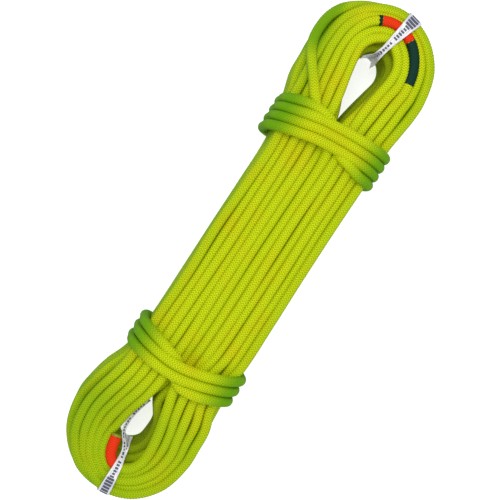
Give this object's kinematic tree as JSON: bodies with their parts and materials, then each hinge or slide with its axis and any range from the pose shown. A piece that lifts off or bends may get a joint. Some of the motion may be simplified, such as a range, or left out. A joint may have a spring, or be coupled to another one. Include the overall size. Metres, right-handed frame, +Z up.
{
  "type": "climbing rope",
  "caption": "Braided dynamic climbing rope in its flat factory hank: long laps bound by wraps near both ends, with sleeved rope ends, a sleeved middle mark and white tapes.",
  "frame": {"origin": "on the floor, under the middle of the whole hank", "axes": "+Y along the hank's long axis, towards the loop with the loose lap; +Z up from the face it lies on; +X across"},
  "size_m": [0.1341, 0.5465, 0.0797],
  "materials": {
    "rope_green": "braided nylon sheath, fluorescent yellow-green, slight sheen",
    "core_white": "twisted white nylon strands",
    "sleeve_red": "shrunk-on sleeve, satin, the braid showing through",
    "sleeve_dark_green": "shrunk-on sleeve, satin, the braid showing through",
    "tape_white": "thin white film with plain dark dashes",
    "fused_nylon": "melted sheath and core, glossy and uneven"
  },
  "bodies": {
    "root": {"bottom_wrap_turn_1": "rope_green", "bottom_wrap_turn_2": "rope_green", "bottom_wrap_turn_3": "rope_green", "core_id_ribbon": "tape_white", "core_strand_1": "core_white", "core_strand_2": "core_white", "core_strand_3": "core_white", "core_strand_4": "core_white", "core_strand_5": "core_white", "core_strand_6": "core_white", "core_strand_centre": "core_white", "end_run": "rope_green", "end_sheath": "rope_green", "end_sleeve_red": "sleeve_red", "end_tip_fused": "fused_nylon", "hank_bundle": "rope_green", "loose_lap": "rope_green", "middle_mark_green": "sleeve_dark_green", "middle_mark_red": "sleeve_red", "middle_mark_ring": "sleeve_dark_green", "middle_mark_run": "rope_green", "tape_bottom": "tape_white", "tape_top": "tape_white", "top_wrap_turn_1": "rope_green", "top_wrap_turn_2": "rope_green", "top_wrap_turn_3": "rope_green", "top_wrap_turn_4": "rope_green", "tucked_end_run": "rope_green", "tucked_end_sleeve_red": "sleeve_red", "tucked_end_tip_fused": "fused_nylon"}
  },
  "joints": []
}
